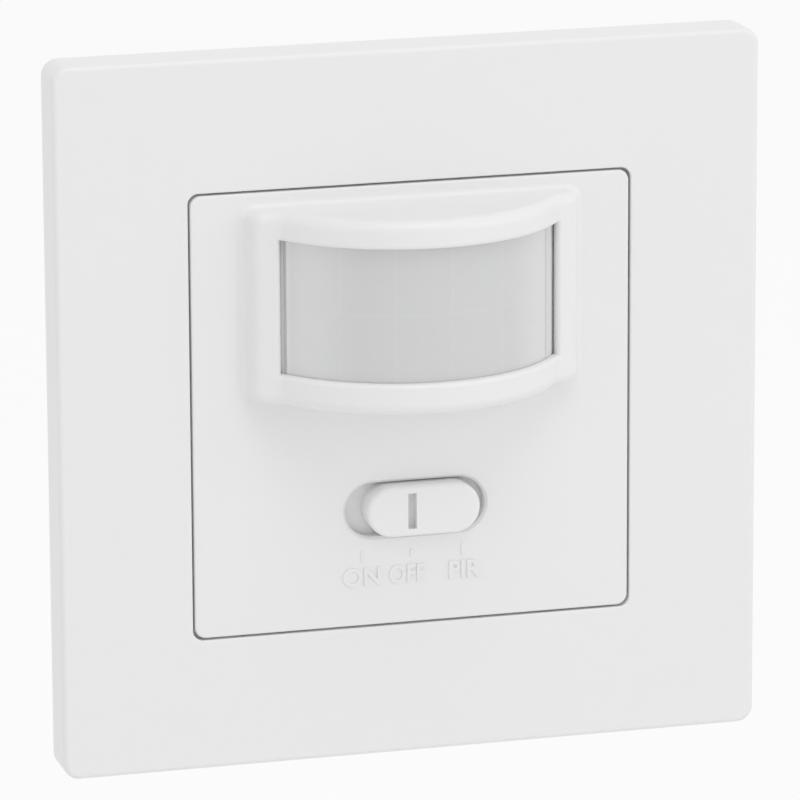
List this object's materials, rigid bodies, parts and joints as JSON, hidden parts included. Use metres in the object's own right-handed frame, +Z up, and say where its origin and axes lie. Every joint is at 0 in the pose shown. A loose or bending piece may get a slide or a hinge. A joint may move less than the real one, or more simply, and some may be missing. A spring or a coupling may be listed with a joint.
{
  "type": "motion sensor light switch",
  "caption": "Flush wall switch with a square cover frame, a bowed infrared lens hood, a sliding mode knob and a boxed electronic insert with screw terminals behind.",
  "frame": {"origin": "midway between the two side fixing slots, on the back face of the support frame, which is the wall surface", "axes": "+X to the right as seen from the room, +Y into the wall, +Z up"},
  "size_m": [0.0804, 0.0487, 0.0804],
  "materials": {
    "white_plastic": "satin white",
    "knob_plastic": "satin white",
    "lens_plastic": "milky, translucent",
    "inner_plastic": "moulded",
    "zinc_sheet": "zinc plated sheet",
    "screw_steel": "zinc plated",
    "cage_steel": "plated",
    "switch_steel": "plated sheet",
    "sensor_can": "nickel plated can",
    "contact_brass": "bare",
    "pin_brass": "gold flashed",
    "terminal_plastic": "moulded",
    "tray_plastic": "moulded",
    "housing_plastic": "fine sparked texture",
    "board_laminate": "solder resist",
    "filter_window": "polished",
    "sensor_epoxy": "clear epoxy, shown solid",
    "black_plastic": "moulded",
    "trimmer_plastic": "moulded",
    "rotor_plastic": "moulded",
    "chip_epoxy": "moulded epoxy",
    "chip_ceramic": "ceramic chips",
    "relay_plastic": "moulded case",
    "capacitor_box": "potted box",
    "capacitor_sleeve": "shrink sleeve",
    "varistor_coat": "dipped epoxy",
    "fuse_plastic": "moulded",
    "resistor_coat": "cement coat"
  },
  "bodies": {
    "switch_body": {"assembly_screws": "screw_steel", "board_screws": "screw_steel", "bridge_rectifier": "chip_epoxy", "chip_parts": "chip_ceramic", "control_chip": "chip_epoxy", "cover_frame": "white_plastic", "film_capacitor": "capacitor_box", "fresnel_lens": "lens_plastic", "front_tray": "tray_plastic", "fuse": "fuse_plastic", "header_base": "black_plastic", "header_pins": "pin_brass", "insert_cover": "white_plastic", "lens_retainer": "inner_plastic", "light_sensor": "sensor_epoxy", "light_trimmer_base": "trimmer_plastic", "main_board": "board_laminate", "motion_sensor": "sensor_can", "power_resistor": "resistor_coat", "rear_housing": "housing_plastic", "relay": "relay_plastic", "sensor_board": "board_laminate", "sensor_filter": "filter_window", "sensor_spacer": "inner_plastic", "slider_guide": "inner_plastic", "smoothing_capacitor": "capacitor_sleeve", "storage_capacitor": "capacitor_sleeve", "support_frame": "zinc_sheet", "switch_case": "switch_steel", "terminal_block": "terminal_plastic", "terminal_contacts": "contact_brass", "time_trimmer_base": "trimmer_plastic", "varistor": "varistor_coat"},
    "mode_slider": {"slider_knob": "knob_plastic", "switch_actuator": "black_plastic"},
    "time_rotor": {"time_trimmer_rotor": "rotor_plastic"},
    "light_rotor": {"light_trimmer_rotor": "rotor_plastic"},
    "live_screw": {"clamp_screw_live": "screw_steel"},
    "live_cage": {"clamp_cage_live": "cage_steel"},
    "neutral_screw": {"clamp_screw_neutral": "screw_steel"},
    "neutral_cage": {"clamp_cage_neutral": "cage_steel"},
    "load_screw": {"clamp_screw_load": "screw_steel"},
    "load_cage": {"clamp_cage_load": "cage_steel"}
  },
  "joints": [
    {"name": "mode_slide", "type": "slide", "parent": "switch_body", "child": "mode_slider", "axis": [1, 0, 0], "range_m": [-0.0021, 0]},
    {"name": "time_turn", "type": "hinge", "parent": "switch_body", "child": "time_rotor", "pos_m": [-0.011, 0.0015, -0.0026], "axis": [0, 1, 0], "range_deg": [-135, 135]},
    {"name": "light_turn", "type": "hinge", "parent": "switch_body", "child": "light_rotor", "pos_m": [0.011, 0.0015, -0.0026], "axis": [0, 1, 0], "range_deg": [-135, 135]},
    {"name": "live_screw_turn", "type": "hinge", "parent": "switch_body", "child": "live_screw", "pos_m": [-0.008, 0.0265, -0.01505], "axis": [0, -1, 0], "range_deg": [0, 1800]},
    {"name": "live_cage_lift", "type": "slide", "parent": "switch_body", "child": "live_cage", "axis": [0, 1, 0], "range_m": [0, 0.0025]},
    {"name": "neutral_screw_turn", "type": "hinge", "parent": "switch_body", "child": "neutral_screw", "pos_m": [0, 0.0265, -0.01505], "axis": [0, -1, 0], "range_deg": [0, 1800]},
    {"name": "neutral_cage_lift", "type": "slide", "parent": "switch_body", "child": "neutral_cage", "axis": [0, 1, 0], "range_m": [0, 0.0025]},
    {"name": "load_screw_turn", "type": "hinge", "parent": "switch_body", "child": "load_screw", "pos_m": [0.008, 0.0265, -0.01505], "axis": [0, -1, 0], "range_deg": [0, 1800]},
    {"name": "load_cage_lift", "type": "slide", "parent": "switch_body", "child": "load_cage", "axis": [0, 1, 0], "range_m": [0, 0.0025]}
  ],
  "couplings": [
    {"joint": "live_screw_turn", "follows": "live_cage_lift", "rad_per_m": 12566},
    {"joint": "neutral_screw_turn", "follows": "neutral_cage_lift", "rad_per_m": 12566},
    {"joint": "load_screw_turn", "follows": "load_cage_lift", "rad_per_m": 12566}
  ]
}
